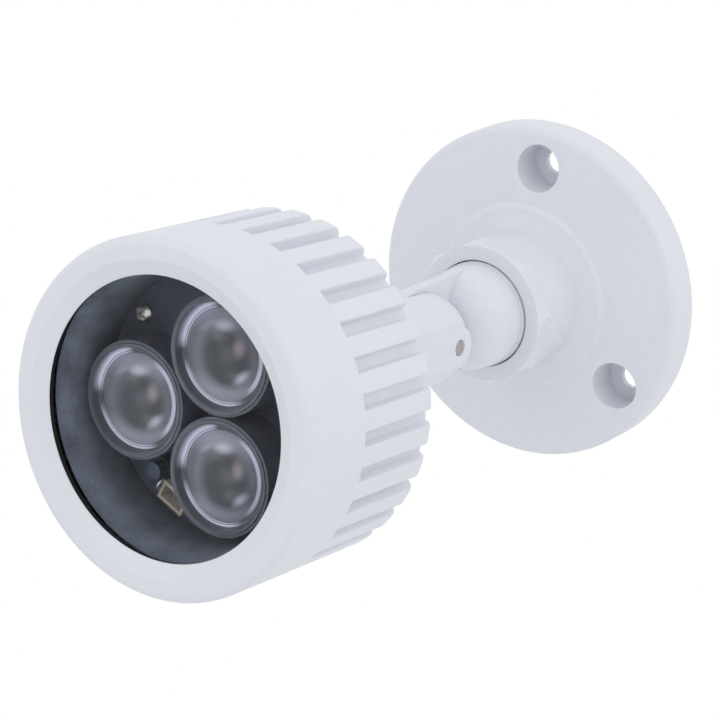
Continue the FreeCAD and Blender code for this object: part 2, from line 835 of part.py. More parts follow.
def wire_connector():
    """The open-topped nylon socket for the board's wires, beside the light sensor."""
    body = new_body("wire_connector")
    side = "connector_width / 2"
    end = "connector_depth / 2"
    block = box_path(f"-{side}", side, f"-{end}", end)
    extrude(body, outline(body, "socket_block", "XY_Plane", block), "connector_height")
    well = box_path(
        f"connector_wall - {side}", f"{side} - connector_wall",
        f"connector_wall - {end}", f"{end} - connector_wall")
    sketch = outline(body, "socket_well", "XY_Plane", well, "connector_height")
    extrude(body, sketch, "connector_height * 0.7", "Pocket")
    aside = frame("connector_aside", "-connector_drop", angle="connector_turn")
    seat(body, HEAD, sensor_place(), aside)


def driver_board():
    """The round driver board behind the spreader, on three standoffs."""
    hole = (*on_ring("standoff_ring", "standoff_angle"), "screw_hole")
    seat(drilled_disc(
        "driver_board", "driver_radius", "driver_back", "driver_front", hole, "3"), HEAD)
    place = frame(angle="standoff_angle")
    posts = box_path("screw_hole", "screw_hole + standoff_wall", "driver_front", "spreader_back")
    seat(turned_group("board_standoffs", posts, "standoff_ring", "3"), HEAD, place)
    # The screws point forward, so they are drawn pointing back and turned over.
    flip = frame(axis=(1, 0, 0), angle="180")
    path = screw_path("-driver_back", "driver_thick + driver_grip")
    seat(turned_group("driver_screws", path, "standoff_ring", "3"), HEAD, place, flip)


def driver_parts():
    """The coil, the two capacitors and the rectifier on the back of the driver board."""
    core = "coil_radius - coil_rim"
    coil = turned("driver_coil", [
        ("0", "-coil_height"),
        ("coil_radius", "-coil_height"),
        ("coil_radius", "coil_rim - coil_height"),
        (core, "coil_rim - coil_height"),
        (core, "-coil_rim"),
        ("coil_radius", "-coil_rim"),
        ("coil_radius", "0"),
        ("0", "0"),
    ])
    seat(coil, HEAD, frame(*on_ring("coil_ring", "coil_angle"), "driver_back"))
    cans = new_body("driver_capacitors")
    aside = "can_radius + can_space / 2"
    sketch = circles(cans, "capacitor_cans", "XY_Plane", [
        ("can_ring", aside, "can_radius"), ("can_ring", f"-({aside})", "can_radius")])
    extrude(cans, sketch, "can_height", reverse=True)
    seat(cans, HEAD, frame(z="driver_back", angle="can_angle"))
    block = new_body("driver_rectifier")
    sketch = outline(block, "rectifier_block", "XY_Plane", box_path(
        "rectifier_ring - rectifier_depth / 2", "rectifier_ring + rectifier_depth / 2",
        "-rectifier_width / 2", "rectifier_width / 2"))
    extrude(block, sketch, "rectifier_height", reverse=True)
    seat(block, HEAD, frame(z="driver_back", angle="rectifier_angle"))


def rear_cover():
    """The screw-in cover whose skirt clamps the spreader, sleeve and glass forward."""
    body = turned("rear_cover", [
        ("0", "cover_back"),
        ("cover_radius", "cover_back"),
        ("cover_radius", "ring_low"),
        ("ring_root", "ring_low"),
        ("ring_root", "ring_high"),
        ("cover_radius", "ring_high"),
        ("cover_radius", "cover_front"),
        ("seated_radius", "cover_front"),
        ("seated_radius", "spreader_back"),
        ("skirt_inner", "spreader_back"),
        ("skirt_inner", "cover_front"),
        ("0", "cover_front"),
    ])
    openings = circles(body, "cover_openings", "XY_Plane", [
        ("0", "0", "tail_hole"),
        (*on_ring("gland_ring", "gland_angle"), "gland_thread + screw_clearance")], "cover_front")
    extrude(body, openings, "cover_thick", "Pocket")
    pits = circles(body, "spanner_pits", "XY_Plane", [
        ("0", "spanner_ring", "spanner_radius"),
        ("0", "-spanner_ring", "spanner_radius")], "cover_back")
    extrude(body, pits, "spanner_depth", "Pocket", reverse=True)
    seat(body, HEAD)
    seat(turned("rear_seal", box_path("ring_root", "cover_radius", "ring_low", "ring_high")), HEAD)


def cable_gland():
    """The small cable inlet on the rear cover: body, cap nut and rubber bush."""
    place = frame(*on_ring("gland_ring", "gland_angle"), "cover_back")
    body = new_body("gland_body")
    corners = polygon("gland_hexagon", 6, "0")
    flange = outline(body, "gland_flange_outline", "XY_Plane", corners)
    extrude(body, flange, "gland_flange", reverse=True)
    tail = circles(body, "gland_tail_outline", "XY_Plane", [("0", "0", "gland_thread")])
    extrude(body, tail, "cover_thick + gland_tail")
    neck = circles(body, "gland_neck_outline", "XY_Plane", [("0", "0", "gland_thread")])
    extrude(body, neck, "-neck_end", reverse=True)
    slot(body, circles(body, "gland_bore", "XY_Plane", [("0", "0", "cable_radius")]))
    well = circles(body, "gland_well", "XY_Plane", [("0", "0", "gland_seal_radius")], "neck_end")
    extrude(body, well, "gland_seal_length", "Pocket", reverse=True)
    seat(body, HEAD, place)
    cap_front = "-gland_flange - screw_clearance"
    seat(turned("gland_nut", [
        ("cable_radius", "cap_end"),
        ("cap_radius - gland_cap_round", "cap_end", LEFT, "gland_cap_round"),
        ("cap_radius", "cap_end + gland_cap_round"),
        ("cap_radius", cap_front),
        ("neck_hole", cap_front),
        ("neck_hole", "cap_floor"),
        ("cable_radius", "cap_floor"),
    ]), HEAD, place)
    seat(turned("gland_seal", box_path(
        "cable_radius - screw_clearance", "gland_seal_radius",
        "neck_end", "neck_end + gland_seal_length")), HEAD, place)


mounting_base()
lock_nut()
swivel_washer()
swivel()
hinge_pin()
hinge_washer()
stem()
stem_seal()
stem_nut()
housing()
window_gasket()
window_glass()
reflector_sleeve()
led_board()
heat_spreader()
board_screws()
for index, lamp_name in enumerate(("upper", "left", "lower")):
    lamp(lamp_name, f"(lens_angle + {120 * index})")
light_sensor()
wire_connector()
driver_board()
driver_parts()
rear_cover()
cable_gland()

# Check every object, then write one file for each node.
doc.recompute()
for item in doc.Objects:
    if "Invalid" in item.State or "Error" in item.State:
        raise RuntimeError(f"{item.Label} failed: {item.State}")
for node in nodes:
    if node.Shape.isNull() or not node.Shape.isValid():
        raise RuntimeError(f"{node.Label} has no valid shape")

os.makedirs("parts", exist_ok=True)
for node in nodes:
    node.Shape.exportStep(f"parts/{node.Label}.step")
print(len(nodes), "nodes written")
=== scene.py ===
import math

import bmesh
import bpy
import numpy as np
from bpy.props import FloatProperty, FloatVectorProperty, IntProperty
from mathutils import Matrix, Vector


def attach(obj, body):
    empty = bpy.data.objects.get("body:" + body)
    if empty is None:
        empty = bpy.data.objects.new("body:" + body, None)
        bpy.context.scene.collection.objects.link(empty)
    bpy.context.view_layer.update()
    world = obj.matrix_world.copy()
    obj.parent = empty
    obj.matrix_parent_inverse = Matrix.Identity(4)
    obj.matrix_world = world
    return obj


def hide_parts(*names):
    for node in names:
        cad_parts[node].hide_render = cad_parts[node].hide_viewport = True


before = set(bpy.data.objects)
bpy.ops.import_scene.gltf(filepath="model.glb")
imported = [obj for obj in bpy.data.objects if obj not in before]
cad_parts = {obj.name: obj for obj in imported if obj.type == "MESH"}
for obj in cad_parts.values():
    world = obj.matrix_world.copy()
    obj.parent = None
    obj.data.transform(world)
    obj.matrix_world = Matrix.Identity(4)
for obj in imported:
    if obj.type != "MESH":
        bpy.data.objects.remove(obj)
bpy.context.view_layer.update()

# Looks of an infrared illuminator on a wall bracket.
# Lengths inside the surface functions are millimetres in a piece's own frame, whose Z is
# its axis. BRACKET and HEAD carry such a frame into the object's, in metres.

bl_info = {
    "name": "Infrared illuminator",
    "version": (1, 0, 0),
    "blender": (4, 5, 0),
    "location": "3D View > Sidebar > Illuminator",
    "description": "Dresses the packed infrared illuminator and its photo stage",
    "category": "Object",
}

# The hinge's distance from the wall, and the angle between the head's axis and straight up. The
# swivel's edges stay sharp from the wall to SWIVEL_FRONT, a place along Y in metres.
HINGE_REACH = 42.7
TILT = 85.8
SWIVEL_FRONT = -0.026
BRACKET = Matrix.Scale(0.001, 4) @ Matrix.Rotation(math.radians(90), 4, "X")
HEAD = (Matrix.Scale(0.001, 4) @ Matrix.Translation((0, -HINGE_REACH, 0))
        @ Matrix.Rotation(math.radians(TILT), 4, "X"))

# Levels of the head, counted from the hinge, with the grooves' front end
REAR, COVER_FRONT, BOARD, SLEEVE = 39.25, 43.25, 58.55, 70.15
GASKET, LIP, FACE = 72.75, 73.35, 74.65
GROOVE_END = FACE - 15.3

# Radii: the rings that the lenses and the board's screws stand on, a lens's dome, the barrel at
# its rear and front, its bore and the grooves' floor. Angles: the lamps and the board's screws.
LENS_RING, SCREW_RING, LENS_DOME = 11.605, 19.805, 7.65
BARREL_REAR, BARREL_FRONT, BORE, GROOVE_FLOOR = 29.605, 29.905, 26.2, 27.655
LAMPS = {"upper": 61.5, "left": 181.5, "lower": 301.5}
SCREWS = (141, 342)

CAMERA_PLACE = (0.28463, -0.46656, 0.16065)
CAMERA_AIM = (-0.5469, 0.7790, -0.3067)

# Stage lamps, which look at LAMP_AIM: azimuth, elevation, distance, size and power. A card lights
# gloss alone. AMBIENT is the strength of the light from all round.
LAMP_AIM = (0, -0.06, 0)
LIGHTS = {
    "key_lamp": (-32, 30, 0.7, (0.45, 0.35), 0.1),
    "right_lamp": (95, 25, 0.8, (0.6, 0.6), 0.46),
    "top_lamp": (20, 50, 0.8, (0.5, 0.4), 0.17),
}
CARDS = {
    "upper_card": (-30, 28, 0.7, (0.28, 0.2), 0.5),
    "lower_card": (3, -31, 0.7, (0.26, 0.16), 0.4),
}
AMBIENT = 0.905


class IlluminatorSizes(bpy.types.PropertyGroup):
    """Sizes of the added surfaces that a user may change."""

    fins: IntProperty(name="Grooves", description="Cooling grooves round the barrel", default=31)
    groove: FloatProperty(
        name="Groove width", description="Width of a cooling groove",
        default=0.00244, unit="LENGTH")
    rib_round: FloatProperty(
        name="Rib edge", description="Rounding of the ribs' long edges",
        default=0.0004, unit="LENGTH")
    edge: FloatProperty(
        name="Casting edge", description="Rounding of the bracket castings' edges",
        default=0.00025, unit="LENGTH")


class IlluminatorColours(bpy.types.PropertyGroup):
    """Main colours of the object and its stage."""

    coat: FloatVectorProperty(
        name="Powder coat", description="White coat on the castings",
        default=(0.76, 0.775, 0.825), subtype="COLOR", min=0, max=1)
    inside: FloatVectorProperty(
        name="Black parts", description="Moulded black pieces in the window",
        default=(0.012, 0.014, 0.019), subtype="COLOR", min=0, max=1)
    floor: FloatVectorProperty(
        name="Floor", description="Pale floor of the stage",
        default=(0.9, 0.9, 0.9), subtype="COLOR", min=0, max=1)


def sizes():
    """The size settings of this scene."""
    return bpy.context.scene.illuminator_sizes


def colours():
    """The colour settings of this scene."""
    return bpy.context.scene.illuminator_colours


# Surfaces

def rounded(corners, steps=5, closed=False):
    """A section through corners (r, z, radius). Each corner with a radius becomes an arc
    tangent to both its sides: start and end lie radius / tan(half the angle) along them.
    One more point just outside each end of the arc keeps the shading of flats flat."""
    spots = np.array([corner[:2] for corner in corners], float)
    out = []
    for index, corner in enumerate(corners):
        radius = corner[2] if len(corner) > 2 else 0
        if not radius or (not closed and index in (0, len(corners) - 1)):
            out.append(spots[index][None])
            continue
        here = spots[index]
        back = spots[index - 1] - here
        ahead = spots[(index + 1) % len(corners)] - here
        back /= np.hypot(*back)
        ahead /= np.hypot(*ahead)
        half = math.acos(np.clip(back @ ahead, -1, 1)) / 2
        cut = radius / math.tan(half)
        middle = here + (back + ahead) / np.hypot(*(back + ahead)) * radius / math.sin(half)
        sweep = math.pi - 2 * half
        start, end = here + back * cut - middle, here + ahead * cut - middle
        t = np.linspace(0, 1, steps + 1)[:, None]
        arc = middle + (np.sin((1 - t) * sweep) * start + np.sin(t * sweep) * end) / math.sin(sweep)
        guard = 0.12 * cut
        out += [(arc[0] + back * guard)[None], arc, (arc[-1] + ahead * guard)[None]]
    return np.concatenate(out)


def grid_faces(points, wrap=False):
    """Used points and faces of a closed skin over a grid of points, rows by columns by 3.
    Columns run all round, and rows too with wrap. A row whose points fall together becomes
    one pole."""
    rows, cols = points.shape[:2]
    index = np.arange(rows * cols).reshape(rows, cols)
    pole = np.ptp(points, axis=1).max(axis=1) < 1e-7
    index[pole] = index[pole][:, :1]
    low = index if wrap else index[:-1]
    high = np.roll(index, -1, 0) if wrap else index[1:]
    quads = np.stack([low, np.roll(low, -1, 1), np.roll(high, -1, 1), high], -1).reshape(-1, 4)
    at_low = quads[:, 0] == quads[:, 1]
    at_high = quads[:, 2] == quads[:, 3]
    used, packed = np.unique(quads, return_inverse=True)
    packed = packed.reshape(-1, 4)
    faces = (packed[~at_low & ~at_high].tolist() + packed[at_low][:, [0, 2, 3]].tolist()
             + packed[at_high][:, :3].tolist())
    return points.reshape(-1, 3)[used], faces


def skin(name, points, place, wrap=False):
    """A piece with one closed skin over a grid of points."""
    return mesh_piece(name, *grid_faces(points, wrap), place)


def mesh_piece(name, points, faces, place):
    """A smooth mesh object whose points are carried into the object's frame by place."""
    matrix = np.array(place)
    spots = np.asarray(points) @ matrix[:3, :3].T + matrix[:3, 3]
    mesh = bpy.data.meshes.new(name)
    mesh.from_pydata(spots.tolist(), [], faces)
    mesh.shade_smooth()
    mesh.update()
    piece = bpy.data.objects.new(name, mesh)
    bpy.context.scene.collection.objects.link(piece)
    return piece


def spun(r, z, angle):
    """The grid of points (r cos a, r sin a, z) for rows of r and z and columns of a."""
    return np.stack([r * np.cos(angle), r * np.sin(angle), z + 0 * angle], -1)


def turn(section, columns):
    """The grid of a section turned about Z at even angles."""
    angle = np.linspace(0, 2 * np.pi, columns, endpoint=False)
    return spun(section[:, :1], section[:, 1:], angle)


def dress(piece, body, slot, finish, *nodes):
    """Ride a piece on its body, name its slot, give it its material and let it replace nodes."""
    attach(piece, body)
    piece.data.materials.clear()
    piece.data.materials.append(finish)
    if nodes:
        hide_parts(*nodes)
    return piece


def paint(finish, *names):
    """Give kept CAD nodes a material."""
    for name in names:
        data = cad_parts[name].data
        data.materials.clear()
        data.materials.append(finish)


def softened(name, body, front=math.inf):
    """A painted casting: a merged copy of a CAD node whose sharp outer edges are bevelled where
    both ends' Y is less than front. Its other sharp edges keep a hard shade."""
    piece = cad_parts[name].copy()
    piece.data = piece.data.copy()
    piece.name = piece.data.name = name + "_cast"
    for key in list(piece.keys()):
        del piece[key]
    piece.parent = None
    bpy.context.scene.collection.objects.link(piece)

    merge_gap, flat_angle, sharp_angle = 1e-6, math.radians(0.3), math.radians(28)
    work = bmesh.new()
    work.from_mesh(piece.data)
    bmesh.ops.remove_doubles(work, verts=work.verts, dist=merge_gap)
    bmesh.ops.dissolve_limit(work, angle_limit=flat_angle, verts=work.verts, edges=work.edges)
    weight = work.edges.layers.float.new("bevel_weight_edge")
    for line in work.edges:
        if line.is_manifold and line.calc_face_angle() > sharp_angle:
            if line.is_convex and max(end.co.y for end in line.verts) < front:
                line[weight] = 1
            else:
                line.smooth = False
    for face in work.faces:
        face.smooth = True
    work.to_mesh(piece.data)
    work.free()

    bevel = piece.modifiers.new("edges", "BEVEL")
    bevel.width = sizes().edge
    bevel.segments = 3
    bevel.limit_method = "WEIGHT"
    bevel.harden_normals = True
    return dress(piece, body, "painted", powder_coat(), name)


# Materials

# What a shared group of a surface finish puts out
FINISH = [("c", "Colour"), ("f", "Roughness"), ("f", "Height")]


def new_group(name, inputs, outputs):
    """An empty shader group with float, vector or colour sockets."""
    group = bpy.data.node_groups.new(name, "ShaderNodeTree")
    kinds = {"f": "NodeSocketFloat", "v": "NodeSocketVector", "c": "NodeSocketColor"}
    for kind, label in inputs:
        group.interface.new_socket(label, in_out="INPUT", socket_type=kinds[kind])
    for kind, label in outputs:
        group.interface.new_socket(label, in_out="OUTPUT", socket_type=kinds[kind])
    return group, group.nodes.new("NodeGroupInput"), group.nodes.new("NodeGroupOutput")


def give(group, out, **results):
    """Link results to a group's output sockets of the same names; returns the group."""
    for label, source in results.items():
        group.links.new(source, out.inputs[label])
    return group


def node(tree, kind, links=(), **settings):
    """A shader node with its settings, and links or values for its input sockets."""
    item = tree.nodes.new("ShaderNode" + kind)
    for key, setting in settings.items():
        setattr(item, key, setting)
    for socket, source in dict(links).items():
        if isinstance(source, bpy.types.NodeSocket):
            tree.links.new(source, item.inputs[socket])
        else:
            item.inputs[socket].default_value = source
    return item


def rgb(colour):
    """A colour with full alpha."""
    return (*colour, 1)


def grey(tone):
    """A grey with full alpha."""
    return (tone, tone, tone, 1)


def ramp(tree, source, *stops):
    """A value spread over stops of (place, tone)."""
    item = node(tree, "ValToRGB", {0: source})
    band = item.color_ramp
    while len(band.elements) < len(stops):
        band.elements.new(0.5)
    for element, (place, tone) in zip(band.elements, stops):
        element.position = place
        element.color = grey(tone)
    return item.outputs["Color"]


def math_node(tree, operation, *values):
    """One Math node; returns its output."""
    return node(tree, "Math", dict(enumerate(values)), operation=operation).outputs[0]


def mixed(tree, mode, factor, first, second):
    """One colour Mix node; returns its result."""
    item = node(tree, "Mix", {0: factor, 6: first, 7: second}, data_type="RGBA", blend_type=mode)
    return item.outputs[2]


def measure(tree, operation, *vectors):
    """A dot product, length or distance from one Vector Math node."""
    item = node(tree, "VectorMath", dict(enumerate(vectors)), operation=operation)
    return item.outputs["Value"]


def scaled(tree, colour, share):
    """A colour times a number."""
    item = node(tree, "VectorMath", {0: colour, "Scale": share}, operation="SCALE")
    return item.outputs[0]


def eased(tree, value, low, high):
    """A share that goes from 0 at low to 1 at high with soft ends."""
    item = node(tree, "MapRange", {0: value, 1: low, 2: high}, interpolation_type="SMOOTHSTEP")
    return item.outputs[0]


def swing(tree, noise, amount, base):
    """The base plus amount times the noise's distance from its middle value."""
    centred = math_node(tree, "SUBTRACT", noise.outputs[0], 0.5)
    return math_node(tree, "MULTIPLY_ADD", centred, amount, base)


def coat_group():
    """Powder coat: orange peel from two noises, soft tone clouds and rare dark specks."""
    group, given, out = new_group("powder_coat", [
        ("v", "Place"), ("c", "Colour"), ("f", "Peel"), ("f", "Tone"), ("f", "Specks")], FINISH)
    place = given.outputs["Place"]
    peel = node(group, "TexNoise", {"Vector": place, "Scale": 900, "Detail": 2, "Roughness": 0.55})
    fine = node(group, "TexNoise", {"Vector": place, "Scale": 3200, "Detail": 1})
    cloud = node(group, "TexNoise", {"Vector": place, "Scale": 60, "Detail": 3})
    height = math_node(group, "MULTIPLY_ADD", fine.outputs[0], 0.35, peel.outputs[0])
    height = math_node(group, "MULTIPLY", height, given.outputs["Peel"])
    shade = swing(group, cloud, given.outputs["Tone"], 1)
    shade = swing(group, peel, 0.07, shade)
    spots = node(group, "TexVoronoi", {"Vector": place, "Scale": 170, "Randomness": 1})
    close = ramp(group, spots.outputs["Distance"], (0.03, 1), (0.06, 0))
    rare = ramp(group, spots.outputs["Color"], (0.90, 0), (0.93, 1))
    speck = math_node(group, "MULTIPLY", close, rare)
    speck = math_node(group, "MULTIPLY", speck, given.outputs["Specks"])
    tone = scaled(group, given.outputs["Colour"], shade)
    tint = mixed(group, "MIX", speck, tone, (0.28, 0.22, 0.17, 1))
    rough = math_node(group, "MULTIPLY_ADD", cloud.outputs[0], 0.12, 0.40)
    return give(group, out, Colour=tint, Roughness=rough, Height=height)


def moulding_group():
    """Moulded plastic: fine spark texture, soft tone clouds and a roughness that follows them."""
    group, given, out = new_group("moulding", [
        ("v", "Place"), ("c", "Colour"), ("f", "Grain"), ("f", "Tone"), ("f", "Roughness")], FINISH)
    place = given.outputs["Place"]
    spark = node(group, "TexNoise", {"Vector": place, "Scale": 3800, "Detail": 2, "Roughness": 0.6})
    cloud = node(group, "TexNoise", {"Vector": place, "Scale": 220, "Detail": 3})
    shade = swing(group, cloud, given.outputs["Tone"], 1)
    shade = swing(group, spark, given.outputs["Tone"], shade)
    tone = scaled(group, given.outputs["Colour"], shade)
    rough = swing(group, spark, 0.25, given.outputs["Roughness"])
    height = math_node(group, "MULTIPLY", spark.outputs[0], given.outputs["Grain"])
    return give(group, out, Colour=tone, Roughness=rough, Height=height)


def metal_group():
    """Cut metal: streaks drawn out along one direction, with stains that dull the gloss."""
    group, given, out = new_group("cut_metal", [
        ("v", "Place"), ("v", "Stretch"), ("c", "Colour"), ("f", "Roughness"), ("f", "Depth")], FINISH)
    place = given.outputs["Place"]
    drawn = node(group, "VectorMath", {0: place, 1: given.outputs["Stretch"]}, operation="MULTIPLY")
    streak = node(group, "TexNoise", {"Vector": drawn.outputs[0], "Scale": 1000, "Detail": 3})
    stain = node(group, "TexNoise", {"Vector": place, "Scale": 350, "Detail": 3})
    shade = swing(group, streak, 0.3, 1)
    shade = swing(group, stain, 0.25, shade)
    tone = scaled(group, given.outputs["Colour"], shade)
    rough = math_node(group, "MULTIPLY_ADD", stain.outputs[0], 0.2, given.outputs["Roughness"])
    height = math_node(group, "MULTIPLY", streak.outputs[0], given.outputs["Depth"])
    return give(group, out, Colour=tone, Roughness=rough, Height=height)


def near(tree, place, centre, *stops):
    """A grey by the distance from a point, over stops of (distance, tone). A ramp ends at 1, so
    distances are divided by the reach."""
    reach = 1.4
    gap = math_node(tree, "DIVIDE", measure(tree, "DISTANCE", place, centre), reach)
    return ramp(tree, gap, *[(spot / reach, tone) for spot, tone in stops])


def facing(tree, heading, degrees, start, full):
    """A mask round the direction at an angle: 0 from start degrees away, 1 from full."""
    a = math.radians(degrees)
    turned = measure(tree, "DOT_PRODUCT", heading, (math.cos(a), math.sin(a), 0))
    return eased(tree, turned, math.cos(math.radians(start)), math.cos(math.radians(full)))


def smear(tree, place, centre, degrees, length, width):
    """A soft oval mask: 1 at its centre, 0 from its edge on."""
    inside = node(tree, "Mapping", {
        "Vector": place, "Location": centre, "Rotation": (0, 0, math.radians(degrees)),
        "Scale": (length, width, 1)}, vector_type="TEXTURE").outputs[0]
    return eased(tree, measure(tree, "LENGTH", inside), 1.0, 0.0)


def painted_lens_light_group():
    """Milky light and dark bands seen in a lens, from places in units of the dome's radius:
    a dark core, light bands above and below, a warm lamp glow and bright arcs round the foot."""
    group, given, out = new_group("lens_painted_light", [("v", "Place")], [("c", "Colour")])
    place = given.outputs["Place"]
    heading = node(group, "VectorMath", {0: place}, operation="NORMALIZE").outputs[0]
    height = node(group, "SeparateXYZ", {0: place}).outputs["Y"]

    def ring(*stops):
        """A grey by the distance from the lens's axis."""
        return near(group, place, (0, 0, 0), *stops)

    def both(first, second):
        """The product of two masks."""
        return math_node(group, "MULTIPLY", first, second)

    def lay(mask, tone):
        """Lay a tone over what is there so far."""
        nonlocal shade
        shade = mixed(group, "MIX", mask, shade, tone)

    # Painted refraction: a dark core, with lighter bands of painted reflection above and below it
    shade = near(group, place, (0.03, -0.09, 0), (0.0, 0.075), (0.34, 0.065), (0.50, 0.075),
                 (0.63, 0.13), (0.76, 0.20), (0.95, 0.19))
    upright = ramp(group, math_node(group, "ABSOLUTE", height), (0.38, 0), (0.78, 1))
    lay(both(ring((0.60, 0), (0.84, 1)), upright), grey(0.40))

    # Painted shadow, lamp glow and three highlights: centre, degrees, length, width and tone
    for *oval, tone in (
            ((0.12, 0.02, 0), 20, 0.42, 0.34, grey(0.125)),
            ((0.38, 0.20, 0), 75, 0.34, 0.26, (0.37, 0.315, 0.285, 1)),
            ((0.0, 0.64, 0), 8, 0.44, 0.20, grey(0.60)),
            ((0.47, -0.42, 0), 38, 0.38, 0.16, grey(0.56)),
            ((-0.42, 0.60, 0), 38, 0.46, 0.12, grey(0.40))):
        lay(smear(group, place, *oval), tone)

    # A painted highlight line inside the dome's edge, and painted shade on the foot round it
    lay(both(ring((0.88, 0), (0.925, 1)), facing(group, heading, 8, start=64, full=36)), grey(0.92))
    lay(ring((0.995, 0), (1.0, 1)), (0.105, 0.108, 0.11, 1))

    # Bright arcs of painted reflection in the dish: one inside, then a broad one above and a slim one
    # below
    upper = facing(group, heading, 141, start=44, full=26)
    lower = facing(group, heading, 248, start=56, full=30)
    inner = ring((1.004, 0), (1.012, 1), (1.032, 1), (1.038, 0))
    lay(both(inner, math_node(group, "MAXIMUM", upper, lower)), grey(0.80))
    lay(both(ring((1.046, 0), (1.056, 1), (1.12, 1), (1.155, 0)), upper), grey(0.78))
    lay(both(ring((1.046, 0), (1.056, 1), (1.08, 1), (1.10, 0)), lower), grey(0.80))

    # Painted tones of the clear flange, and a painted highlight line on its brim
    lay(ring((1.155, 0), (1.165, 1)), (0.095, 0.098, 0.10, 1))
    lay(ring((1.20, 0), (1.208, 0.75), (1.23, 0.75)), grey(0.24))
    return give(group, out, Colour=mixed(group, "MULTIPLY", 1, shade, (0.95, 0.965, 1.16, 1)))


GROUP_MAKERS = {
    "powder_coat": coat_group,
    "moulding": moulding_group,
    "cut_metal": metal_group,
    "lens_painted_light": painted_lens_light_group,
}


def shared(tree, name, values):
    """A node in the tree that holds the shared group of this name, which is built once, with
    links or values for its input sockets."""
    if name not in bpy.data.node_groups:
        GROUP_MAKERS[name]()
    return node(tree, "Group", values, node_tree=bpy.data.node_groups[name])


def bare_material(name):
    """A new material and its empty tree."""
    item = bpy.data.materials.new(name)
    item.use_nodes = True
    item.node_tree.nodes.clear()
    return item, item.node_tree


def principled(tree, values):
    """The Principled shader, with links or values for its sockets, on the material's output."""
    shader = node(tree, "BsdfPrincipled", values)
    node(tree, "OutputMaterial", {"Surface": shader.outputs[0]})


def material(name, group, values, bump, plain=(), shade=None):
    """A material whose colour, roughness and bump come from a shared group on Object
    coordinates. Plain settings go straight to the shader's own sockets. Shade is a function
    that turns the tree, the place and the colour into the colour to use."""
    if name in bpy.data.materials:
        return bpy.data.materials[name]
    item, tree = bare_material(name)
    place = node(tree, "TexCoord").outputs["Object"]
    effect = shared(tree, group, {"Place": place, **values})
    colour = effect.outputs["Colour"]
    if shade:
        colour = shade(tree, place, colour)
    relief = node(tree, "Bump", {
        "Height": effect.outputs["Height"], "Strength": 1, "Distance": bump})
    principled(tree, {
        "Base Color": colour, "Roughness": effect.outputs["Roughness"],
        "Normal": relief.outputs[0], **dict(plain)})
    return item


def moulded(name, colour, grain, tone, roughness, bump=0.00001, plain=(), shade=None):
    """A moulded or lacquered material from the shared moulding group."""
    return material(name, "moulding", {
        "Colour": rgb(colour), "Grain": grain, "Tone": tone, "Roughness": roughness},
        bump=bump, plain=plain, shade=shade)


def cut_metal(name, colour, roughness, stretch=(1, 1, 1), bump=0.000004):
    """A bare metal from the shared metal group. Its streaks run along the axis whose stretch is
    small."""
    return material(name, "cut_metal", {
        "Stretch": stretch, "Colour": rgb(colour), "Roughness": roughness, "Depth": 1},
        bump=bump, plain={"Metallic": 1.0})


def powder_coat():
    """White powder coat of the castings."""
    return material("white_powder_coat", "powder_coat", {
        "Colour": rgb(colours().coat), "Peel": 1.0, "Tone": 0.05, "Specks": 0.5},
        bump=0.00006, plain={"Specular IOR Level": 0.45})


def black_moulding():
    """Satin black plastic of the sensor's sleeve."""
    return moulded("black_moulding", colours().inside, grain=1.0, tone=0.5, roughness=0.42,
                   bump=0.00002, plain={"Specular IOR Level": 0.35})


def painted_sleeve_shade(tree, place, colour):
    """The colour, darker towards the sleeve's foot and black at its front edge. The depth is
    the place's share along the head's axis, from the board to the sleeve's mouth."""
    axis = HEAD.to_3x3().normalized() @ Vector((0, 0, 1))
    start = HEAD.translation.dot(axis)
    share = node(tree, "MapRange", {
        0: measure(tree, "DOT_PRODUCT", place, axis),
        1: start + BOARD * 0.001, 2: start + SLEEVE * 0.001}).outputs[0]
    # Painted shade: the colour darkens towards the board
    shade = ramp(tree, share, (0.0, 0.30), (0.45, 0.55), (0.8, 1.0), (0.985, 1.0), (0.995, 0.03))
    return mixed(tree, "MULTIPLY", 1, colour, shade)


def satin_sleeve():
    """Dark satin finish of the reflector sleeve."""
    return moulded("satin_sleeve", (0.23, 0.258, 0.33), grain=1.0, tone=1.3, roughness=0.42,
                   bump=0.00004, plain={"Specular IOR Level": 0.7}, shade=painted_sleeve_shade)


def board_mask():
    """Black solder mask of the lamp board."""
    return moulded("black_solder_mask", (0.062, 0.070, 0.10), grain=0.6, tone=0.5,
                   roughness=0.35, plain={"Specular IOR Level": 0.2})


def rubber():
    """Dark soft rubber of the seals and washers."""
    return moulded("dark_rubber", (0.014, 0.014, 0.015), grain=1.0, tone=0.3, roughness=0.7)


def green_mask():
    """Green solder mask of the driver board."""
    return moulded("green_solder_mask", (0.02, 0.16, 0.06), grain=0.6, tone=0.3, roughness=0.3)


def cream_nylon():
    """Cream nylon of the connector."""
    return moulded("cream_nylon", (0.46, 0.40, 0.33), grain=1.0, tone=0.2, roughness=0.45)


def holder_plastic():
    """Smoky plastic of the lens holders."""
    return moulded("smoky_plastic", (0.085, 0.092, 0.125), grain=0.4, tone=0.3, roughness=0.35)


def lamp_phosphor():
    """Pale warm face of a lamp diode."""
    return moulded("lamp_face", (0.55, 0.45, 0.36), grain=0.4, tone=0.3, roughness=0.35)


def sensor_blue():
    """Blue-grey resin of the light sensor."""
    return moulded("sensor_resin", (0.035, 0.05, 0.095), grain=0.4, tone=0.15, roughness=0.3)


def black_resin():
    """Black epoxy of the driver's components."""
    return moulded("black_resin", (0.02, 0.02, 0.022), grain=1, tone=0.3, roughness=0.5)


def steel():
    """Stainless steel of the screws, the standoffs, the connector's loop and the stem's nut."""
    return cut_metal("stainless_steel", (0.62, 0.60, 0.58), roughness=0.18)


def dull_steel():
    """Stained steel of the hinge pin."""
    return cut_metal("dull_steel", (0.50, 0.44, 0.42), roughness=0.25)


def aluminium():
    """Milled aluminium of the heat spreader."""
    return cut_metal("milled_aluminium", (0.70, 0.71, 0.72), roughness=0.28,
                     stretch=(1, 0.05, 1), bump=0.000005)


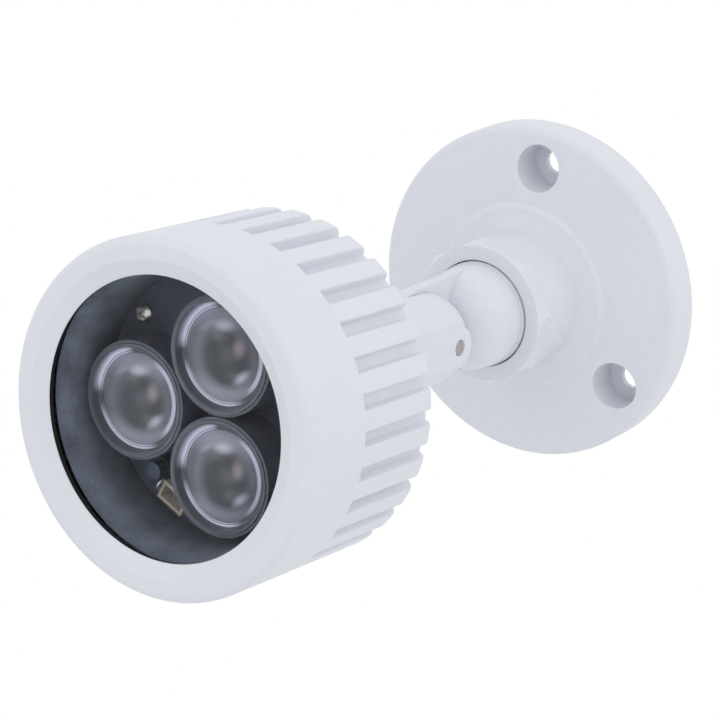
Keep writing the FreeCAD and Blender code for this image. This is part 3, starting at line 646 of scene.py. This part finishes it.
def brass():
    """Nickelled brass of the cable inlet."""
    return cut_metal("nickelled_brass", (0.66, 0.62, 0.52), roughness=0.22, stretch=(1, 0.05, 1))


def clear_plastic(name, tint, roughness, ior):
    """Clear material with faint ripple in its surface."""
    return moulded(name, tint, grain=0.15, tone=0.0, roughness=roughness, bump=0.000004,
                   plain={"Transmission Weight": 1.0, "IOR": ior})


def frosted_plastic():
    """Frosted underside of the lenses."""
    return moulded("lens_frosted_back", (0.30, 0.30, 0.32), grain=1.0, tone=0.1, roughness=0.6,
                   plain={"Transmission Weight": 0.5, "IOR": 1.49})


def lens_face():
    """Polished lens front whose milky bands come from the shared lens group."""
    if "lens_front_painted_light" in bpy.data.materials:
        return bpy.data.materials["lens_front_painted_light"]
    item, tree = bare_material("lens_front_painted_light")
    spot = node(tree, "Attribute", attribute_name="spot").outputs["Vector"]
    bands = shared(tree, "lens_painted_light", {"Place": spot})
    principled(tree, {
        "Base Color": bands.outputs["Colour"], "Roughness": 0.22, "IOR": 1.49,
        "Specular IOR Level": 0.3})
    return item


# Pieces

def groove_columns():
    """Angles and depth shares of the columns round the barrel. Each groove is a slot with
    straight walls, whose share of the full depth goes from 0 on the rib to 1 on the groove's
    floor, with arcs of a quarter turn at the rib's edge and at the foot of the wall. One more
    column just past each arc keeps the shading of flats flat."""
    data = sizes()
    depth, mean_radius, phase = 2.1, 29.75, 22.5
    foot_inset, wall_lean, fillet = 0.12, 0.13, 0.35
    foot = data.groove * 1000 / 2 - foot_inset
    rim = foot + wall_lean
    edge = data.rib_round * 1000
    t = np.linspace(0, np.pi / 2, 6)
    half = np.concatenate([
        [[0, depth], [foot - fillet * 1.2, depth]],
        np.stack([foot - fillet + fillet * np.sin(t), depth - fillet * (1 - np.cos(t))], -1)[:-1],
        np.stack([rim + edge * (1 - np.cos(t)), edge * (1 - np.sin(t))], -1)[1:],
        [[rim + edge * 1.25, 0]]])
    pitch = math.pi / data.fins
    angle = np.arcsin(half[:, 0] / (mean_radius - half[:, 1]))
    share = half[:, 1] / depth
    angle = np.concatenate([-angle[:0:-1], angle, [pitch]])
    share = np.concatenate([share[:0:-1], share, [0]])
    turns = np.arange(data.fins) * 2 * pitch + math.radians(phase)
    return (turns[:, None] + angle).ravel(), np.tile(share, data.fins)


def housing_section():
    """The closed section of the barrel, from the rear of its bore round the outside and the
    window lip, undercut for the gasket, and back down the bore."""
    window, seat, inner = 23.4, 24.1, 25.6
    return rounded([
        (BORE, REAR, 0.3), (BARREL_REAR, REAR, 2.1), (BARREL_FRONT, FACE, 1.6), (BORE, FACE, 0.35),
        (window, LIP, 0.1), (seat, GASKET, 0.05), (inner, GASKET), (inner, COVER_FRONT),
        (BORE, COVER_FRONT)], steps=7, closed=True)


def make_housing():
    """Radius R(z) of the section less share(a) h(z) (R(z) - floor) outside the grooves' floor,
    where h rises from 0 to 1 with soft ends over the height of the groove's end wall. More rows
    stand along the grooves, most of them on that wall."""
    section = housing_section()
    wall = 0.48
    top = GROOVE_END + wall / 3
    outside = (section[:, 0] > GROOVE_FLOOR) & (section[:, 1] < GROOVE_END)
    rear = np.flatnonzero(outside)[-1]
    low, high = section[rear], section[rear + 1]
    t = np.linspace(0, np.pi, 7)
    level = np.concatenate([
        np.linspace(low[1] + 1.5, GROOVE_END - 1.2, 7), top - wall * (1 + np.cos(t)) / 2,
        GROOVE_END + np.array([0.3, 2, 8])])
    radius = np.interp(level, [low[1], high[1]], [low[0], high[0]])
    section = np.insert(section, rear + 1, np.stack([radius, level], -1), axis=0)
    angle, share = groove_columns()
    r, z = section[:, :1], section[:, 1:]
    h = np.clip((top - z) / wall, 0, 1)
    h = h * h * (3 - 2 * h)
    r = r - share * h * np.maximum(0, r - GROOVE_FLOOR)
    barrel = skin("housing_casting", spun(r, z, angle), HEAD, wrap=True)
    dress(barrel, "head", "painted", powder_coat(), "housing")


def make_nut():
    """The nut's outline is r(a) = flat / cos(angle from the nearest flat's middle). The
    chamfer's cone meets it at the height front - drop (r(a) - flat) / (corner - flat)."""
    flat, bore, skirt, edge = 12.75, 10.0, 11.35, 0.35
    front, back, skirt_end, drop = 23.3, 20.0, 12.95, 1.6
    turned, steps = 4.7, 24
    index = np.arange(8 * steps)
    angle = math.radians(turned) + index * 2 * np.pi / len(index)
    side = flat / np.cos((index % steps / steps - 0.5) * np.pi / 4)
    cut = front - drop * (side - flat) / (side.max() - flat)
    t = np.linspace(0, np.pi / 2, 7)
    ends = [(skirt, skirt_end), (skirt, back), (side, back), (side, cut), (flat, front)]
    ends += list(zip(bore + edge * (1 - np.sin(t)), front - edge * (1 - np.cos(t))))
    ends.append((bore, skirt_end))
    r, z = (np.stack([end[part] + 0 * angle for end in ends]) for part in (0, 1))
    nut = skin("lock_nut_turned", spun(r, z, angle), BRACKET, wrap=True)
    dress(nut, "bracket", "painted", powder_coat(), "lock_nut")
    nut.data.set_sharp_from_angle(angle=math.radians(20))


def make_bracket():
    """The wall disc with softened edges, and the lock nut."""
    softened("mounting_base", "bracket")
    make_nut()
    paint(rubber(), "swivel_washer")


def make_hinge():
    """The swivel, the stem and the steel pin between them. The swivel's fine line stays crisp."""
    softened("swivel", "swivel_post", front=SWIVEL_FRONT)
    softened("stem", "head")
    paint(dull_steel(), "hinge_pin")
    paint(rubber(), "hinge_washer", "stem_seal")
    paint(steel(), "stem_nut")


def make_window():
    """Glass, gasket and sleeve behind the window."""
    paint(rubber(), "window_gasket")
    glass = clear_plastic("window_glass_clear", (0.95, 0.97, 0.98), roughness=0.0, ior=1.16)
    paint(glass, "window_glass")
    paint(satin_sleeve(), "reflector_sleeve")


def screw_points():
    """A pan-head screw on Z with a cross recess: the head's height less
    depth x arm(r |sin a|, r |cos a|) x end(r), where arm falls from 1 to 0 at the arm's side
    and end from 1 to 0 at its tip."""
    shank, head, brow = 0.98, 1.68, 1.15
    foot, brim, rise, crown = -4.6, 0.45, 1.05, 0.15
    depth, arm_half, arm_soft, tip, tip_soft = 0.55, 0.25, 0.07, 1.05, 0.12
    section = rounded([
        (0, foot), (shank, foot, 0.1), (shank, 0), (head, 0, 0.06), (head, brim, 0.3), (brow, rise)])
    r = np.linspace(1, 0, 26)
    top = np.stack([brow * r, rise + crown * (1 - r ** 2)], -1)
    grid = turn(np.concatenate([section[:-1], top]), 96)
    radius = np.hypot(grid[..., 0], grid[..., 1])
    side = np.minimum(abs(grid[..., 0]), abs(grid[..., 1]))
    arm = np.clip((arm_half - side) / arm_soft, 0, 1)
    end = np.clip((tip - radius) / tip_soft, 0, 1)
    grid[..., 2] -= depth * arm * end * (grid[..., 2] > brim)
    return grid_faces(grid)


def make_board_screws():
    """The two screws that hold the board, on their ring."""
    points, faces = screw_points()
    spots = []
    for angle in SCREWS:
        turned = Matrix.Rotation(math.radians(angle), 3, "Z")
        spots.append((points + (SCREW_RING, 0, BOARD)) @ np.array(turned).T)
    faces = faces + [[corner + len(points) for corner in face] for face in faces]
    piece = mesh_piece("board_screw_pair", np.concatenate(spots), faces, HEAD)
    dress(piece, "head", "steel", steel(), "board_screws")


def make_connector_loop():
    """The steel wire loop at the connector's end: a circle of the wire's radius, at the loop's
    radius from its axis, turned about that axis, which lies along the connector."""
    loop, wire = 1.0, 0.22
    across, up, above, turned = -7.9, -14.5, 4, -27
    angle = np.linspace(0, 2 * np.pi, 16, endpoint=False)[:, None]
    section = np.hstack([loop + wire * np.cos(angle), wire * np.sin(angle)])
    place = (HEAD @ Matrix.Translation((across, up, BOARD + above))
             @ Matrix.Rotation(math.radians(turned), 4, "Z")
             @ Matrix.Rotation(math.radians(90), 4, "Y"))
    dress(skin("connector_loop", turn(section, 48), place, wrap=True), "head", "steel", steel())


def make_board():
    """The lamp board with its screws, sensor and connector, and the heat spreader."""
    make_board_screws()
    make_connector_loop()
    paint(board_mask(), "led_board")
    paint(aluminium(), "heat_spreader")
    paint(sensor_blue(), "light_sensor")
    paint(black_moulding(), "sensor_sleeve")
    paint(cream_nylon(), "wire_connector")


def lens_section():
    """The lens from the ceiling of its pocket out over the frosted underside, up the flange to
    its brim, down into the dish and over the dome, which is part of a sphere."""
    pocket, foot, waist, flange, mouth = 2.4, 4.5, 8.45, 9.4, 8.85
    base, ceiling, shoulder, brim, dish, crown = 1.9, 3.4, 5.5, 7.3, 5.85, 9.2
    under = rounded([
        (0, ceiling), (pocket, ceiling, 0.2), (pocket, base, 0.15), (foot, base, 0.3),
        (waist, shoulder)])
    side = rounded([
        (waist, shoulder), (flange, shoulder, 0.12), (flange, brim, 0.15), (mouth, brim, 0.12),
        (8.55, 6.0, 0.2), (8.0, dish)])
    r = np.sin(np.linspace(1, 0, 30) * np.pi / 2) * LENS_DOME
    rise = crown - dish
    bulge = (LENS_DOME ** 2 + rise ** 2) / (2 * rise)
    dome = np.stack([r, crown - bulge + np.sqrt(bulge ** 2 - r ** 2)], -1)
    return np.concatenate([under[:-1], side, dome])


def carried(items, key, place):
    """One three-number property of all items, carried by a matrix, as rows."""
    out = np.empty(len(items) * 3)
    items.foreach_get(key, out)
    matrix = np.array(place)
    return out.reshape(-1, 3) @ matrix[:3, :3].T + matrix[:3, 3]


def make_lens(name, angle):
    """One lens with clear sides, a frosted back and a banded front. Its attribute spot is the
    place across the lens in units of the dome's radius, less lean times the dome's height
    share 1 - r^2, so that the bands follow the sight through the dome."""
    front_level, back_level, lean = 5.8, 5.45, (0.36, 0.16, 0)
    a = math.radians(angle)
    place = HEAD @ Matrix.Translation((LENS_RING * math.cos(a), LENS_RING * math.sin(a), BOARD))
    lens = skin("lens_dome_" + name, turn(lens_section(), 96), place)
    clear = clear_plastic("lens_plastic", (0.97, 0.97, 0.98), roughness=0.03, ior=1.49)
    dress(lens, "head", "lens", clear, "lens_" + name)
    data = lens.data
    data.materials.append(frosted_plastic())
    data.materials.append(lens_face())

    home = place.inverted()
    level = carried(data.polygons, "center", home)[:, 2]
    kind = np.where(level > front_level, 2, level < back_level)
    data.polygons.foreach_set("material_index", kind.astype(np.int32))
    spots = carried(data.vertices, "co", home) / LENS_DOME
    spots[:, 2] = 0
    crown = np.maximum(0, 1 - (spots ** 2).sum(1, keepdims=True))
    field = data.attributes.new("spot", "FLOAT_VECTOR", "POINT")
    field.data.foreach_set("vector", (spots - crown * lean).ravel())


def make_lamps():
    """The three lenses with their holders and diodes."""
    for name, angle in LAMPS.items():
        paint(holder_plastic(), "lens_holder_" + name)
        paint(lamp_phosphor(), "led_" + name)
        make_lens(name, angle)


def make_rear():
    """The rear cover, the cable inlet and the driver inside."""
    paint(powder_coat(), "rear_cover")
    paint(rubber(), "rear_seal", "gland_seal")
    paint(brass(), "gland_body", "gland_nut")
    paint(green_mask(), "driver_board")
    paint(steel(), "driver_screws", "board_standoffs")
    paint(black_resin(), "driver_coil", "driver_capacitors", "driver_rectifier")


# Stage

def area_lamp(name, azimuth, elevation, distance, size, power):
    """A soft lamp that looks at the object from an azimuth and an elevation."""
    a, e = math.radians(azimuth), math.radians(elevation)
    away = Vector((math.sin(a) * math.cos(e), -math.cos(a) * math.cos(e), math.sin(e)))
    data = bpy.data.lights.new(name, "AREA")
    data.shape = "RECTANGLE"
    data.size, data.size_y = size
    data.energy = power
    lamp = bpy.data.objects.new(name, data)
    lamp.location = Vector(LAMP_AIM) + away * distance
    lamp.rotation_euler = away.to_track_quat("Z", "Y").to_euler()
    bpy.context.scene.collection.objects.link(lamp)
    return lamp


def make_camera():
    """The camera at the photo's angle."""
    scene = bpy.context.scene
    data = bpy.data.cameras.new("camera")
    data.lens, data.sensor_width = 150, 36
    data.clip_start, data.clip_end = 0.01, 50
    camera = bpy.data.objects.new("camera", data)
    scene.collection.objects.link(camera)
    camera.location = CAMERA_PLACE
    camera.rotation_euler = Vector(CAMERA_AIM).to_track_quat("-Z", "Y").to_euler()
    scene.camera = camera
    scene.view_settings.view_transform = "Standard"


def seen_directly(tree):
    """1 for rays from the camera, through clear pieces and off gloss, and 0 for the rest."""
    path = node(tree, "LightPath")
    seen = math_node(tree, "MAXIMUM", path.outputs["Is Camera Ray"],
                     path.outputs["Is Transmission Ray"])
    return math_node(tree, "MAXIMUM", seen, path.outputs["Is Glossy Ray"])


def make_surroundings():
    """White where it is seen, and a soft light of the strength AMBIENT."""
    world = bpy.data.worlds.new("surroundings")
    world.use_nodes = True
    bpy.context.scene.world = world
    tree = world.node_tree
    tree.nodes.clear()
    dim = node(tree, "Background", {"Color": (0.965, 0.98, 1, 1), "Strength": AMBIENT})
    white = node(tree, "Background", {"Color": (1, 1, 1, 1), "Strength": 1})
    choice = node(tree, "MixShader", {
        0: seen_directly(tree), 1: dim.outputs[0], 2: white.outputs[0]})
    node(tree, "OutputWorld", {"Surface": choice.outputs[0]})


def make_floor():
    """The pale floor, white where it is seen from above and clear from below."""
    level, span = -0.45, 4.0
    corners = [(-span, -span, level), (span, -span, level), (span, span, level),
               (-span, span, level)]
    floor = mesh_piece("floor", corners, [(0, 1, 2, 3)], Matrix.Identity(4))
    pale, tree = bare_material("pale_floor")
    below = node(tree, "NewGeometry").outputs["Backfacing"]
    matt = node(tree, "BsdfDiffuse", {"Color": rgb(colours().floor)})
    glow = node(tree, "Emission", {"Color": (1, 1, 1, 1), "Strength": 1})
    above = node(tree, "MixShader", {0: seen_directly(tree), 1: matt.outputs[0], 2: glow.outputs[0]})
    clear = node(tree, "BsdfTransparent")
    choice = node(tree, "MixShader", {0: below, 1: above.outputs[0], 2: clear.outputs[0]})
    node(tree, "OutputMaterial", {"Surface": choice.outputs[0]})
    floor.data.materials.append(pale)


def make_stage():
    """Camera, white surroundings, soft lamps and pale floor."""
    make_camera()
    make_surroundings()
    for name, setting in LIGHTS.items():
        area_lamp(name, *setting)
    for name, setting in CARDS.items():
        area_lamp(name, *setting).visible_diffuse = False
    make_floor()


# Add-on

def operator(idname, label, work, words):
    """An operator class that runs one of the making functions."""
    def execute(self, context):
        """Run the making function."""
        work()
        return {"FINISHED"}
    return type("ILLUMINATOR_OT_" + idname, (bpy.types.Operator,), {
        "bl_idname": "illuminator." + idname, "bl_label": label, "__doc__": words,
        "execute": execute})


STEPS = [
    operator("stage", "Stage", make_stage, "Set up camera, floor and lamps"),
    operator("bracket", "Bracket", make_bracket, "Dress the wall disc and lock nut"),
    operator("hinge", "Hinge", make_hinge, "Dress the swivel, stem and pin"),
    operator("housing", "Housing", make_housing, "Build the grooved barrel"),
    operator("window", "Window", make_window, "Dress glass, gasket and sleeve"),
    operator("board", "Board", make_board, "Dress the lamp board and what stands on it"),
    operator("lamps", "Lamps", make_lamps, "Dress lenses, holders and diodes"),
    operator("rear", "Rear", make_rear, "Dress the rear cover, cable inlet and driver"),
]


class ILLUMINATOR_PT_panel(bpy.types.Panel):
    """Sidebar panel that lists the object's making steps."""

    bl_label = "Illuminator"
    bl_space_type = "VIEW_3D"
    bl_region_type = "UI"
    bl_category = "Illuminator"

    def draw(self, context):
        """List the settings and the operators."""
        layout = self.layout
        for group in (context.scene.illuminator_sizes, context.scene.illuminator_colours):
            for name in group.__annotations__:
                layout.prop(group, name)
        for step in STEPS:
            layout.operator(step.bl_idname)


CLASSES = [IlluminatorSizes, IlluminatorColours, *STEPS, ILLUMINATOR_PT_panel]


def register():
    """Register the classes and put the settings on the scene."""
    for item in CLASSES:
        bpy.utils.register_class(item)
    bpy.types.Scene.illuminator_sizes = bpy.props.PointerProperty(type=IlluminatorSizes)
    bpy.types.Scene.illuminator_colours = bpy.props.PointerProperty(type=IlluminatorColours)


def unregister():
    """Take the settings and the classes away again."""
    del bpy.types.Scene.illuminator_colours
    del bpy.types.Scene.illuminator_sizes
    for item in reversed(CLASSES):
        bpy.utils.unregister_class(item)


def main():
    """Register, run each step and write both boxes."""
    register()
    for step in STEPS:
        getattr(bpy.ops.illuminator, step.bl_idname.split(".")[1])()


if __name__ == "__main__":
    main()
